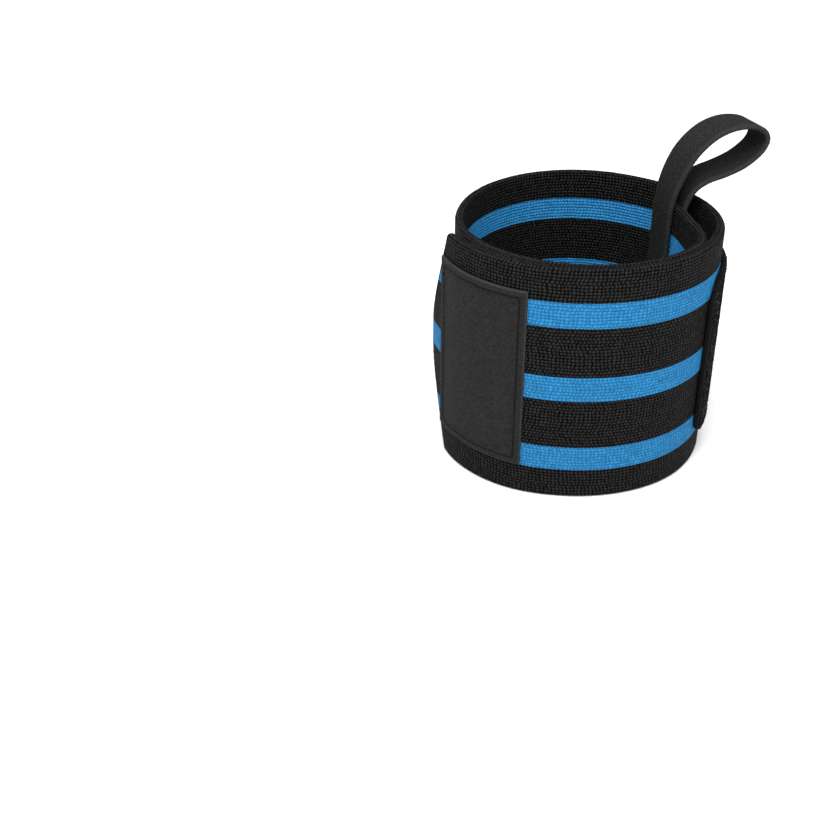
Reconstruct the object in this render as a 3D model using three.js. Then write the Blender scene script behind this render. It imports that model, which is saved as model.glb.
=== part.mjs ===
// Elastic wrist wrap with a thumb loop, rolled up and standing on its long edge.
// Millimetres, +Z up. The roll's axis is vertical, its front faces -Y, and the
// origin is the middle of the whole thing's footprint, on the surface it stands on.
import * as THREE from 'three';

// Driving dimensions of the elastic band
const BAND_WIDTH = 76;
const BAND_THICKNESS = 2.7;
const EDGE_CHAMFER = 0.6;
const POINT_LENGTH = 18;

// Driving dimensions of the roll
const ROLL_RADIUS = 40.6;
const CLEARANCE = 0.3;
const INNER_END_TURN = -15;
const OUTER_END_TURN = 543;

// Driving dimensions of the thumb loop
const STRAP_WIDTH = 11.5;
const STRAP_THICKNESS = 1.6;
const LOOP_REACH = 28.5;
const LOOP_RISE = 23;
const LEG_HEM = 4;

// Driving dimensions of the sewn label
const LABEL_HEIGHT = 58;
const LABEL_LENGTH = 38.5;
const LABEL_THICKNESS = 1;
const LABEL_TO_POINT = 14;

// Driving dimensions of the fastening
const TAB_WIDTH = 44;
const TAB_LENGTH = 118;
const TAB_THICKNESS = 2.2;
const PILE_HEIGHT = 56;
const PILE_LENGTH = 94;
const PILE_THICKNESS = 1.8;
const PILE_START_TURN = 265;
const HOOK_HEIGHT = 38;
const HOOK_THICKNESS = 0.8;
const HOOK_HEM = 3;
const CORNER_RADIUS = 5;

// The patches sit a little above the middle of the band.
const PATCH_RISE = 1;

// The roll is seen from above and wound clockwise, so a turn of 90 degrees is at
// its front (-Y) and a turn of 0 or 360 at its right (+X).
// radius: the band's middle line, as a share of ROLL_RADIUS.
const WINDING = [
  { turn: 160, radius: 0.966 },
  { turn: 183, radius: 0.958 },
  { turn: 195, radius: 0.956 },
  { turn: 215, radius: 0.974 },
  { turn: 236, radius: 1.005 },
  { turn: 253, radius: 1.032 },
  { turn: 270, radius: 1.045 },
  { turn: 288, radius: 1.037 },
  { turn: 304, radius: 1.02 },
  { turn: 335, radius: 1.014 },
  { turn: 360, radius: 1.01 },
  { turn: 385, radius: 1.001 },
  { turn: 410, radius: 1.001 },
  { turn: 435, radius: 1 },
  { turn: 460, radius: 1.019 },
  { turn: 485, radius: 1.063 },
  { turn: 508, radius: 1.085 },
  { turn: 520, radius: 1.086 },
  { turn: 531, radius: 1.067 },
  { turn: 543, radius: 1.057 },
  { turn: 560, radius: 1.05 },
];

// Under its outer lap the band lies one thickness further in, and slack is how far
// it has also come away from that lap, as a share of ROLL_RADIUS.
const SLACK = [
  { turn: -30, slack: 0.168 },
  { turn: -15, slack: 0.166 },
  { turn: 4, slack: 0.147 },
  { turn: 14, slack: 0.108 },
  { turn: 24, slack: 0.057 },
  { turn: 33, slack: 0.018 },
  { turn: 44, slack: 0.002 },
  { turn: 56, slack: 0 },
  { turn: 84, slack: 0 },
  { turn: 100, slack: 0.009 },
  { turn: 126, slack: 0.046 },
  { turn: 148, slack: 0.057 },
  { turn: 160, slack: 0.048 },
  { turn: 171, slack: 0.03 },
  { turn: 183, slack: 0.025 },
];
const UNDER_LAP_END = 183;
const ONE_TURN = 360;

// The thumb loop from the inner leg round to the outer one.
// out: away from the band's middle line, as a share of LOOP_REACH.
// up: above the band's top edge, as a share of LOOP_RISE.
const LOOP_OUTLINE = [
  { out: -0.06, up: 0.22 },
  { out: 0.02, up: 0.5 },
  { out: 0.13, up: 0.71 },
  { out: 0.32, up: 0.9 },
  { out: 0.5, up: 0.98 },
  { out: 0.68, up: 1 },
  { out: 0.85, up: 0.97 },
  { out: 0.96, up: 0.89 },
  { out: 1, up: 0.79 },
  { out: 0.97, up: 0.68 },
  { out: 0.89, up: 0.58 },
  { out: 0.75, up: 0.47 },
  { out: 0.55, up: 0.38 },
  { out: 0.34, up: 0.31 },
  { out: 0.21, up: 0.22 },
  { out: 0.14, up: 0.11 },
];

// Facets
const TURN_STEP = 4;
const CORNER_STEPS = [0, 0.06, 0.25, 0.55, 1];
const LOOP_SECTIONS = 56;

const BLACK_WEB = new THREE.MeshStandardMaterial({ color: 0x1c1c1d, roughness: 0.9, metalness: 0 });
const BLACK_STRAP = new THREE.MeshStandardMaterial({ color: 0x161617, roughness: 0.85, metalness: 0 });
const BLACK_PILE = new THREE.MeshStandardMaterial({ color: 0x101011, roughness: 1, metalness: 0 });
const BLACK_NYLON = new THREE.MeshStandardMaterial({ color: 0x0d0d0e, roughness: 0.6, metalness: 0 });
const GREY_LABEL = new THREE.MeshStandardMaterial({ color: 0x303031, roughness: 0.75, metalness: 0 });

const radians = THREE.MathUtils.degToRad;

// A column of a table at a turn between its rows, as one smooth curve.
function readColumn(table, column, turn) {
  const last = table.length - 1;
  let row = 0;
  while (row < last - 1 && turn > table[row + 1].turn) row += 1;
  const slopeAt = (i) => {
    const before = table[Math.max(i - 1, 0)];
    const after = table[Math.min(i + 1, last)];
    return (after[column] - before[column]) / (after.turn - before.turn);
  };
  const span = table[row + 1].turn - table[row].turn;
  const t = THREE.MathUtils.clamp((turn - table[row].turn) / span, 0, 1);
  const rise = table[row + 1][column] - table[row][column];
  const ease = t * t * (3 - 2 * t);
  const leave = t * (1 - t) * (1 - t) * span * slopeAt(row);
  const arrive = t * t * (1 - t) * span * slopeAt(row + 1);
  return table[row][column] + rise * ease + leave - arrive;
}

// The radius of the band's middle line. Its first lap lies under its last one.
function bandRadius(turn) {
  const outer = (at) => ROLL_RADIUS * readColumn(WINDING, 'radius', at);
  if (turn > UNDER_LAP_END) return outer(turn);
  const slack = ROLL_RADIUS * readColumn(SLACK, 'slack', turn);
  return outer(turn + ONE_TURN) - BAND_THICKNESS - CLEARANCE - slack;
}

function polar(radius, turn) {
  return new THREE.Vector2(radius * Math.cos(radians(turn)), -radius * Math.sin(radians(turn)));
}

// A place on a wound path, with the way it runs and the way out of the roll.
function station(radiusAt, turn) {
  const DELTA = 0.05;
  const before = polar(radiusAt(turn - DELTA), turn - DELTA);
  const after = polar(radiusAt(turn + DELTA), turn + DELTA);
  const along = after.sub(before).normalize();
  return { point: polar(radiusAt(turn), turn), along, out: new THREE.Vector2(-along.y, along.x) };
}

// Stitches rings of equal point count into one closed solid, capped at both ends.
function closedSolid(name, rings, material) {
  const count = rings[0].length;
  const positions = rings.flat().flatMap((p) => [p.x, p.y, p.z]);
  const index = [];
  for (let r = 0; r < rings.length - 1; r += 1) {
    for (let i = 0; i < count; i += 1) {
      const next = (i + 1) % count;
      const a = r * count + i;
      const b = r * count + next;
      index.push(a, b + count, b, a, a + count, b + count);
    }
  }
  const lastRing = (rings.length - 1) * count;
  for (let i = 1; i < count - 1; i += 1) {
    index.push(0, i, i + 1);
    index.push(lastRing, lastRing + i + 1, lastRing + i);
  }
  const geometry = new THREE.BufferGeometry();
  geometry.setAttribute('position', new THREE.Float32BufferAttribute(positions, 3));
  geometry.setIndex(index);
  geometry.computeVertexNormals();
  const mesh = new THREE.Mesh(geometry, material);
  mesh.name = name;
  return mesh;
}

// A flat strip's section: a rectangle with its four long edges chamfered.
function chamferedSection(low, high, bottom, top, chamfer) {
  return [
    [low + chamfer, bottom], [low, bottom + chamfer],
    [low, top - chamfer], [low + chamfer, top],
    [high - chamfer, top], [high, top - chamfer],
    [high, bottom + chamfer], [high - chamfer, bottom],
  ];
}

function ringAt(place, section) {
  return section.map(([out, z]) => new THREE.Vector3(
    place.point.x + place.out.x * out,
    place.point.y + place.out.y * out,
    z,
  ));
}

// The turns at which a strip has sections: even steps, closer at rounded corners.
function stripTurns(radiusAt, from, to, startCorner, endCorner) {
  const cornerTurns = (corner, turn) => {
    const width = THREE.MathUtils.radToDeg(corner / radiusAt(turn));
    return (corner > 0 ? CORNER_STEPS : [0]).map((share) => share * width);
  };
  const starts = cornerTurns(startCorner, from).map((offset) => from + offset);
  const ends = cornerTurns(endCorner, to).map((offset) => to - offset).reverse();
  const middleFrom = starts.at(-1);
  const middle = ends[0] - middleFrom;
  const steps = Math.max(2, Math.round(middle / TURN_STEP));
  const between = Array.from({ length: steps - 1 }, (_, i) => middleFrom + (middle * (i + 1)) / steps);
  return [...starts, ...between, ...ends];
}

// How far a rounded corner draws a strip's edge in, at a distance from the strip's end.
function cornerInset(distance, corner) {
  if (distance >= corner) return 0;
  return corner - Math.sqrt(Math.max(0, corner ** 2 - (corner - distance) ** 2));
}

// A strip that follows the roll: low and high are its faces' distances out from the path.
function woundStrip(name, spec, material) {
  const { radiusAt, from, to, low, high, middle, height, startCorner, endCorner } = spec;
  const chamfer = Math.min(EDGE_CHAMFER, (high - low) / 4);
  const rings = stripTurns(radiusAt, from, to, startCorner, endCorner).map((turn) => {
    const radius = radiusAt(turn);
    const inset = cornerInset(radians(turn - from) * radius, startCorner)
      + cornerInset(radians(to - turn) * radius, endCorner);
    const bottom = middle - height / 2 + inset;
    const top = middle + height / 2 - inset;
    return ringAt(station(radiusAt, turn), chamferedSection(low, high, bottom, top, chamfer));
  });
  return closedSolid(name, rings, material);
}

const bandOut = BAND_THICKNESS / 2;
const patchMiddle = BAND_WIDTH / 2 + PATCH_RISE;
const innerEnd = station(bandRadius, INNER_END_TURN);
const pointTurns = THREE.MathUtils.radToDeg(POINT_LENGTH / bandRadius(OUTER_END_TURN));
const shoulderTurn = OUTER_END_TURN - pointTurns;
const labelEndTurn = OUTER_END_TURN
  - THREE.MathUtils.radToDeg(LABEL_TO_POINT / bandRadius(OUTER_END_TURN));

// The elastic band: its straight inner end, sewn between the legs of the thumb loop,
// the winding, and the outer end, cut to a blunt point as wide as the tab.
function elasticBand() {
  const section = (bottom, top) => chamferedSection(-bandOut, bandOut, bottom, top, EDGE_CHAMFER);
  const firstPoint = innerEnd.point.clone().addScaledVector(innerEnd.along, -STRAP_WIDTH);
  const rings = [ringAt({ ...innerEnd, point: firstPoint }, section(0, BAND_WIDTH))];
  const windingSteps = Math.round((shoulderTurn - INNER_END_TURN) / TURN_STEP);
  for (let i = 0; i <= windingSteps; i += 1) {
    const turn = INNER_END_TURN + ((shoulderTurn - INNER_END_TURN) * i) / windingSteps;
    rings.push(ringAt(station(bandRadius, turn), section(0, BAND_WIDTH)));
  }
  const POINT_SECTIONS = 5;
  for (let i = 1; i <= POINT_SECTIONS; i += 1) {
    const share = i / POINT_SECTIONS;
    const cut = (share * (BAND_WIDTH - TAB_WIDTH)) / 2;
    const place = station(bandRadius, shoulderTurn + pointTurns * share);
    rings.push(ringAt(place, section(cut, BAND_WIDTH - cut)));
  }
  return closedSolid('elastic_band', rings, BLACK_WEB);
}

// The thumb loop: one strap whose two legs hold the band's inner end between them and
// whose slack above the band stands out over the roll's edge as a teardrop.
function thumbLoop() {
  const legOut = bandOut + CLEARANCE + STRAP_THICKNESS / 2;
  const flat = (out, z) => new THREE.Vector3(out, z, 0);
  const outline = LOOP_OUTLINE.map((row) => (
    flat(row.out * LOOP_REACH, BAND_WIDTH + row.up * LOOP_RISE)
  ));
  const LEG_TOP = 2;
  const curve = new THREE.CatmullRomCurve3([
    flat(-legOut, BAND_WIDTH - LEG_TOP * 2),
    flat(-legOut, BAND_WIDTH - LEG_TOP),
    ...outline,
    flat(legOut, BAND_WIDTH - LEG_TOP),
    flat(legOut, BAND_WIDTH - LEG_TOP * 2),
  ], false, 'centripetal');
  const places = curve.getSpacedPoints(LOOP_SECTIONS);
  places.unshift(flat(-legOut, LEG_HEM));
  places.push(flat(legOut, LEG_HEM));

  const half = STRAP_THICKNESS / 2;
  const edge = STRAP_THICKNESS / 5;
  const section = chamferedSection(-half, half, 0, STRAP_WIDTH, edge).reverse();
  const rings = places.map((place, i) => {
    const before = places[Math.max(i - 1, 0)];
    const after = places[Math.min(i + 1, places.length - 1)];
    const tangent = after.clone().sub(before).normalize();
    return section.map(([across, back]) => {
      const out = place.x - tangent.y * across;
      const z = place.y + tangent.x * across;
      const ground = innerEnd.point.clone()
        .addScaledVector(innerEnd.out, out)
        .addScaledVector(innerEnd.along, -back);
      return new THREE.Vector3(ground.x, ground.y, z);
    });
  });
  return closedSolid('thumb_loop', rings, BLACK_STRAP);
}

// The bare label on the outer face, beside the blunt point.
function labelPatch() {
  const low = bandOut + CLEARANCE;
  const turns = THREE.MathUtils.radToDeg(LABEL_LENGTH / (bandRadius(labelEndTurn) + low));
  return woundStrip('label_patch', {
    radiusAt: bandRadius, from: labelEndTurn - turns, to: labelEndTurn,
    low, high: low + LABEL_THICKNESS, middle: patchMiddle, height: LABEL_HEIGHT,
    startCorner: 0, endCorner: 0,
  }, GREY_LABEL);
}

// The fuzzy half of the fastening, sewn on the outer face round the back and right.
const pileLow = bandOut + CLEARANCE;
const pileHigh = pileLow + PILE_THICKNESS;
function pilePatch() {
  const turns = THREE.MathUtils.radToDeg(PILE_LENGTH / (ROLL_RADIUS + pileLow));
  return woundStrip('pile_patch', {
    radiusAt: bandRadius, from: PILE_START_TURN, to: PILE_START_TURN + turns,
    low: pileLow, high: pileHigh, middle: patchMiddle, height: PILE_HEIGHT,
    startCorner: CORNER_RADIUS, endCorner: CORNER_RADIUS,
  }, BLACK_PILE);
}

// The tab's inner face leaves the band's outer end, comes down on the lap below and
// climbs on to the pile, with the hooks between them.
const hookLow = pileHigh + CLEARANCE;
const tabLowOnPile = hookLow + HOOK_THICKNESS + CLEARANCE;
const tabLowOnBand = bandOut + CLEARANCE;
const tabStartTurn = labelEndTurn + THREE.MathUtils.radToDeg(CLEARANCE / ROLL_RADIUS);
const climbEndTurn = ONE_TURN + PILE_START_TURN - 2;
const SETTLED_AFTER = 0.4;
const CLIMB_FROM = 0.78;
function tabRadius(turn) {
  if (turn <= OUTER_END_TURN) return bandRadius(turn) + tabLowOnBand;
  const lapBelow = bandRadius(turn - ONE_TURN);
  const way = (turn - OUTER_END_TURN) / (climbEndTurn - OUTER_END_TURN);
  const leave = 1 - THREE.MathUtils.smoothstep(way, 0, SETTLED_AFTER);
  const climb = THREE.MathUtils.smoothstep(way, CLIMB_FROM, 1);
  const step = bandRadius(OUTER_END_TURN) - bandRadius(OUTER_END_TURN - ONE_TURN);
  return lapBelow + tabLowOnBand + step * leave + (tabLowOnPile - tabLowOnBand) * climb;
}
const tabEndTurn = tabStartTurn + THREE.MathUtils.radToDeg(TAB_LENGTH / (ROLL_RADIUS + tabLowOnPile));

function hookTab() {
  return woundStrip('hook_tab', {
    radiusAt: tabRadius, from: tabStartTurn, to: tabEndTurn,
    low: 0, high: TAB_THICKNESS, middle: BAND_WIDTH / 2, height: TAB_WIDTH,
    startCorner: 0, endCorner: CORNER_RADIUS,
  }, BLACK_WEB);
}

// The hooks under the tab's free end, hidden between the tab and the pile.
function hookStrip() {
  const hem = THREE.MathUtils.radToDeg(HOOK_HEM / ROLL_RADIUS);
  return woundStrip('hook_strip', {
    radiusAt: tabRadius, from: climbEndTurn + hem, to: tabEndTurn - hem,
    low: -CLEARANCE - HOOK_THICKNESS, high: -CLEARANCE,
    middle: BAND_WIDTH / 2, height: HOOK_HEIGHT,
    startCorner: CORNER_RADIUS, endCorner: CORNER_RADIUS,
  }, BLACK_NYLON);
}

const wristWrap = new THREE.Group();
wristWrap.name = 'wrist_wrap';
wristWrap.add(elasticBand(), thumbLoop(), labelPatch(), pilePatch(), hookTab(), hookStrip());

// The footprint's middle becomes the origin.
const footprint = new THREE.Box3().setFromObject(wristWrap).getCenter(new THREE.Vector3());
wristWrap.children.forEach((mesh) => mesh.geometry.translate(-footprint.x, -footprint.y, 0));

export default wristWrap;
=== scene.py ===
# %% [markdown]
# A wrist wrap, rolled up
#
# A lifter's wrist wrap is one long strip of thick elastic webbing with a thumb loop at
# its inner end and a hook-and-loop tab at its outer end. For storage it is rolled up
# and stands on its long edge. Every soft piece here is cut out flat first, as it is at
# the factory, and then wound along a guide curve, so the weave follows the cloth.

# %% The frame, and the box of the solid model
import math
import random

import bmesh
import bpy
from mathutils import Matrix, Vector


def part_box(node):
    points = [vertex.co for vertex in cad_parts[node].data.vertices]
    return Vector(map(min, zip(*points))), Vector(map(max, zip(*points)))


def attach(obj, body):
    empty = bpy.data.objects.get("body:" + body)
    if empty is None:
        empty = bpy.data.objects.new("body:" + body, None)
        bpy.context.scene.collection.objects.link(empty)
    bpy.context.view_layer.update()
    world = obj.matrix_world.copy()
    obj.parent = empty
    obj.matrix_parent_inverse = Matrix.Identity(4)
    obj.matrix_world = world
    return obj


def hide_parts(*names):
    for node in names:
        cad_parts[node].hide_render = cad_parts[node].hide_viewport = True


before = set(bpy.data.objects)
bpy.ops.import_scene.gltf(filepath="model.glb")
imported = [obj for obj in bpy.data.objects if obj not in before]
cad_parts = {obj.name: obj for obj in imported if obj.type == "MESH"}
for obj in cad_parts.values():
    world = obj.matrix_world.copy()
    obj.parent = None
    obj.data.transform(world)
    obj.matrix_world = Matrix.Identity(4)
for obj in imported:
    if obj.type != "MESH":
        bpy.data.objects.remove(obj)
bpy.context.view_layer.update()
MM = 0.001

# %% [markdown]
# The sizes of the wrap
#
# These are the cloth's own sizes, in millimetres. Where a size can be read from the
# solid model it is: the band stands between the floor and its own top edge.

# %% Sizes
band_low, band_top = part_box("elastic_band")
BAND_WIDTH = (band_top[2] - band_low[2]) / MM
BAND_THICKNESS = 2.7
ROLL_RADIUS = 40.6
CLEARANCE = 0.3
SHOULDER_TURN = 521.5
NOSE_TURN = 540
NOSE_LENGTH = 4.5
NOSE_WIDTH = 9.4
NOSE_LIFT = 2.45
TAB_WIDTH = 44
TAB_THICKNESS = 2.2
LABEL_HEIGHT = 58
LABEL_LENGTH = 37
LABEL_THICKNESS = 0.8
LABEL_TO_POINT = 14
PILE_HEIGHT = 54
PILE_DROP = 1
PILE_TOP_CORNER = 10
PILE_LENGTH = 94
PILE_THICKNESS = 1.8
PATCH_RISE = 1
HOOK_THICKNESS = 0.8
CORNER_RADIUS = 5
STRAP_WIDTH = 11.5
STRAP_THICKNESS = 1.6
LOOP_REACH = 28.5
LOOP_RISE = 23.6
LEG_HEM = 4
STRIPE_COUNT = 3
STRIPE_WIDTH = 8
STRIPE_MARGIN = 10
print("band", BAND_WIDTH, "mm wide,", BAND_THICKNESS, "mm thick")

# %% [markdown]
# How the band is wound
#
# Seen from above the band runs clockwise: a turn of 90 degrees is at the front and a
# turn of 0 or 360 at the right. The first table gives its middle line as a share of
# the roll's radius. The second says how far the first lap has come away from the lap
# outside it, which is what opens the crescent behind the thumb loop.

# %% The winding
INNER_END_TURN = -15
OUTER_END_TURN = 543
UNDER_LAP_END = 183
PILE_START_TURN = 265
NOSE_LIFT_TURNS = (519, 541)
ONE_TURN = 360
WINDING = [
    (160, 0.966), (183, 0.958), (195, 0.956), (215, 0.974), (236, 1.005),
    (253, 1.032), (270, 1.045), (288, 1.037), (304, 1.02), (335, 1.014),
    (360, 1.01), (385, 1.001), (410, 1.001), (435, 1), (460, 1.019),
    (485, 1.063), (508, 1.085), (520, 1.086), (531, 1.067), (543, 1.057),
    (560, 1.05),
]
SLACK = [
    (-30, 0.168), (-15, 0.166), (4, 0.147), (14, 0.096), (24, 0.037),
    (33, 0.004), (44, 0.001), (56, 0), (84, 0), (100, 0.009), (126, 0.046),
    (148, 0.057), (160, 0.048), (171, 0.03), (183, 0.025),
]


def read_table(table, turn):
    """The value of a table at a turn between its rows, on one smooth curve."""
    last = len(table) - 1
    row = 0
    while row < last - 1 and turn > table[row + 1][0]:
        row += 1

    def slope(i):
        before, after = table[max(i - 1, 0)], table[min(i + 1, last)]
        return (after[1] - before[1]) / (after[0] - before[0])

    span = table[row + 1][0] - table[row][0]
    t = min(max((turn - table[row][0]) / span, 0), 1)
    rise = table[row + 1][1] - table[row][1]
    leave = t * (1 - t) ** 2 * span * slope(row)
    arrive = t * t * (1 - t) * span * slope(row + 1)
    return table[row][1] + rise * t * t * (3 - 2 * t) + leave - arrive


def band_radius(turn):
    """The radius of the band's middle line. Its first lap lies under its last one."""
    if turn > UNDER_LAP_END:
        return ROLL_RADIUS * read_table(WINDING, turn)
    over = ROLL_RADIUS * read_table(WINDING, turn + ONE_TURN)
    return over - BAND_THICKNESS - CLEARANCE - ROLL_RADIUS * read_table(SLACK, turn)


def smooth_step(value, low, high):
    t = min(max((value - low) / (high - low), 0), 1)
    return t * t * (3 - 2 * t)


def cloth_radius(turn):
    """The band's middle line, with the stiff pointed end lifted off by the tab under it."""
    return band_radius(turn) + NOSE_LIFT * smooth_step(turn, *NOSE_LIFT_TURNS)


BAND_OUT = BAND_THICKNESS / 2
PILE_LOW = BAND_OUT + CLEARANCE
PILE_HIGH = PILE_LOW + PILE_THICKNESS
TAB_LOW_ON_BAND = BAND_OUT + CLEARANCE
TAB_LOW_ON_PILE = PILE_HIGH + CLEARANCE + HOOK_THICKNESS + CLEARANCE
CLIMB_END_TURN = ONE_TURN + PILE_START_TURN - 2
CLIMB_TURNS = 18
TAB_FROM_TURN = 529
TAB_TO_TURN = 673.5
TAB_UNDER_TO_TURN = 549
TAB_SETTLES = (545, 582)
TAB_GAP = 0.15


def tab_radius(turn):
    """The tab's inner face: under the band's point, on the lap below, up on the pile."""
    band_above = cloth_radius(min(turn, TAB_UNDER_TO_TURN))
    under = band_above - BAND_OUT - TAB_GAP - TAB_THICKNESS
    climb = smooth_step(turn, CLIMB_END_TURN - CLIMB_TURNS, CLIMB_END_TURN)
    rise = (TAB_LOW_ON_PILE - TAB_LOW_ON_BAND) * climb
    on_lap = band_radius(turn - ONE_TURN) + TAB_LOW_ON_BAND + rise
    settled = smooth_step(turn, *TAB_SETTLES)
    return under * (1 - settled) + on_lap * settled


# %% [markdown]
# Guide curves
#
# A Curve modifier bends a flat mesh along a guide: the mesh's X becomes the distance
# along the guide, and its Y the distance out from it. The guides are plain polylines
# with a point for each degree, and they are taken away once the pieces are wound.
#
# The roll's axis isn't the middle of the footprint, because the loop and the tab
# stand out on one side. The shift between them is the one that centres the solid model.

# %% Guides
GUIDE_STEP = 1
GUIDE_OVERRUN = 12


def on_roll(radius, turn):
    angle = math.radians(turn)
    return Vector((radius * math.cos(angle), -radius * math.sin(angle), 0))


def wound_points(radius_at, first, last):
    count = math.ceil((last - first) / GUIDE_STEP)
    turns = [first + (last - first) * i / count for i in range(count + 1)]
    return turns, [on_roll(radius_at(turn), turn) for turn in turns]


def distances(points):
    total = [0.0]
    for before, after in zip(points, points[1:]):
        total.append(total[-1] + (after - before).length)
    return total


turns, band_points = wound_points(cloth_radius, INNER_END_TURN, OUTER_END_TURN + GUIDE_OVERRUN)
start_along = (band_points[1] - band_points[0]).normalized()
start_out = Vector((-start_along.y, start_along.x, 0))
inner_point = band_points[0].copy()
band_points.insert(0, inner_point - start_along * STRAP_WIDTH)
band_way = distances(band_points)
band_turns = [INNER_END_TURN] + turns


def look_up(value, known, wanted):
    """What one list says where the other has a value, straight between its entries."""
    for i in range(1, len(known) - 1):
        if known[i + 1] >= value:
            share = (value - known[i]) / (known[i + 1] - known[i])
            return wanted[i + 1] * share + wanted[i] * (1 - share)
    return wanted[-1]


def way_at(turn):
    """The distance along the band, in millimetres, at a turn."""
    return look_up(turn, band_turns, band_way)


def turn_at(way):
    """The turn at a distance along the band, in millimetres."""
    return look_up(way, band_way, band_turns)


AXIS = Vector((-5.648, -3.562, 0))
print("the roll's axis stands at", AXIS)


def make_guide(name, points):
    data = bpy.data.curves.new(name, "CURVE")
    data.dimensions = "2D"
    spline = data.splines.new("POLY")
    spline.points.add(len(points) - 1)
    for target, point in zip(spline.points, points):
        target.co = (point.x * MM, point.y * MM, 0, 1)
    guide = bpy.data.objects.new(name, data)
    bpy.context.scene.collection.objects.link(guide)
    return guide


band_guide = make_guide("band_guide", [p + AXIS for p in band_points])
_, tab_points = wound_points(tab_radius, TAB_FROM_TURN, TAB_TO_TURN)
tab_guide = make_guide("tab_guide", [p + AXIS for p in tab_points])
print("band guide", round(band_way[-1], 1), "mm long")

# %% [markdown]
# Cutting a strip
#
# Each strip starts as a cube that is scaled to the cloth's size. Its corners are
# bevelled where the cloth's outline is round, then the edges of its faces, so that no
# edge is sharp. It is cut across or divided lengthwise, fine enough to bend. Before it
# is wound, each point's flat position is kept in an attribute, and the materials weave
# in that flat space.


# %% Helpers for modelling
def deselect():
    if bpy.context.mode != "OBJECT":
        bpy.ops.object.mode_set(mode="OBJECT")
    bpy.ops.object.select_all(action="DESELECT")


def make_active(obj):
    deselect()
    obj.select_set(True)
    bpy.context.view_layer.objects.active = obj


def apply_place(obj):
    make_active(obj)
    bpy.ops.object.transform_apply(location=True, rotation=True, scale=True)


def apply_modifiers(obj):
    make_active(obj)
    for modifier in list(obj.modifiers):
        bpy.ops.object.modifier_apply(modifier=modifier.name)


def select_edges(obj, wanted):
    """Edit mode with only those edges selected whose two ends pass the test."""
    make_active(obj)
    bpy.ops.object.mode_set(mode="EDIT")
    bpy.ops.mesh.select_mode(type="EDGE")
    bpy.ops.mesh.select_all(action="DESELECT")
    mesh = bmesh.from_edit_mesh(obj.data)
    for edge in mesh.edges:
        edge.select = bool(wanted(edge.verts[0].co, edge.verts[1].co))
    mesh.select_flush_mode()
    bmesh.update_edit_mesh(obj.data)


def bevel_selected(width, segments):
    bpy.ops.mesh.bevel(offset=width * MM, segments=segments, affect="EDGES", clamp_overlap=True)
    bpy.ops.object.mode_set(mode="OBJECT")


def new_block(name, low, high):
    """A box from one corner to the other, in millimetres."""
    deselect()
    bpy.ops.mesh.primitive_cube_add(size=1)
    block = bpy.context.active_object
    block.name = name
    block.scale = [(end - start) * MM for start, end in zip(low, high)]
    block.location = [(end + start) / 2 * MM for start, end in zip(low, high)]
    apply_place(block)
    return block


def round_outline(obj, radius, at_start=True, low=0, high=BAND_WIDTH):
    """Rounds the corners of a strip's end, or of both ends, between two heights."""
    xs = [v.co.x for v in obj.data.vertices]
    first, last = min(xs), max(xs)

    def corner(a, b):
        runs_through = abs(a.x - b.x) < 1e-6 and abs(a.z - b.z) < 1e-6
        here = (at_start and abs(a.x - first) < 1e-6) or abs(a.x - last) < 1e-6
        return runs_through and here and low * MM <= a.z <= high * MM

    select_edges(obj, corner)
    bevel_selected(radius, segments=6)


def soften_edges(obj, radius, segments=3):
    """Rounds every edge between a face of the cloth and its cut side."""
    ys = [v.co.y for v in obj.data.vertices]
    low, high = min(ys), max(ys)

    def on_a_face(a, b):
        same = abs(a.y - b.y) < 1e-7
        return same and min(abs(a.y - low), abs(a.y - high)) < 1e-7

    select_edges(obj, on_a_face)
    bevel_selected(radius, segments)


def cut_across(x):
    """Cuts the whole mesh, in edit mode, across the strip."""
    bpy.ops.mesh.select_all(action="SELECT")
    bpy.ops.mesh.bisect(plane_co=(x, 0, 0), plane_no=(1, 0, 0))


def cut_columns(obj, step):
    """Cuts the strip into columns of about one length, so that it can bend."""
    xs = [v.co.x for v in obj.data.vertices]
    first, last = min(xs), max(xs)
    count = max(1, round((last - first) / (step * MM)))
    make_active(obj)
    bpy.ops.object.mode_set(mode="EDIT")
    for i in range(1, count):
        cut_across(first + (last - first) * i / count)
    bpy.ops.object.mode_set(mode="OBJECT")


def keep_flat_place(obj):
    """Stores each point's place on the flat cloth, in metres, before it is wound."""
    flat = obj.data.attributes.new("flat", "FLOAT_VECTOR", "POINT")
    for vertex, item in zip(obj.data.vertices, flat.data):
        item.vector = vertex.co


def wind(obj, guide):
    """Bends a flat piece along its guide, outward side out."""
    bend = obj.modifiers.new("wind", "CURVE")
    bend.object = guide
    bend.deform_axis = "POS_X"
    apply_modifiers(obj)


def finish_piece(obj, material, node=None, angle=35):
    make_active(obj)
    bpy.ops.object.shade_smooth_by_angle(angle=math.radians(angle))
    obj.data.materials.clear()
    obj.data.materials.append(material)
    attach(obj, "root")
    if node:
        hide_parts(node)
    print(obj.name, len(obj.data.polygons), "faces")


# %% [markdown]
# The camera, the floor and the light
#
# The wrap stands on a white table under large soft lights, and the camera looks down
# at it by about thirty degrees. A white world fills the shadows, so only a faint one
# shows beside the roll.

# %% Camera, floor and light
PHOTO_WIDTH = 832
FOCAL_PIXELS = 1223.5
CAMERA_DOWN = 30.5
CAMERA_PLACE = Vector((-52.3, -356.3, 214.2))
SENSOR = 36
LIGHT_AIM = (0, 0, 0.04)

bpy.ops.object.camera_add()
camera = bpy.context.active_object
camera.name = "camera"
camera.data.sensor_width = SENSOR
camera.data.lens = SENSOR * FOCAL_PIXELS / PHOTO_WIDTH
camera.data.clip_start = 0.01
camera.location = (CAMERA_PLACE + AXIS) * MM
camera.rotation_euler = (math.radians(90 - CAMERA_DOWN), 0, 0)
bpy.context.scene.camera = camera

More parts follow.
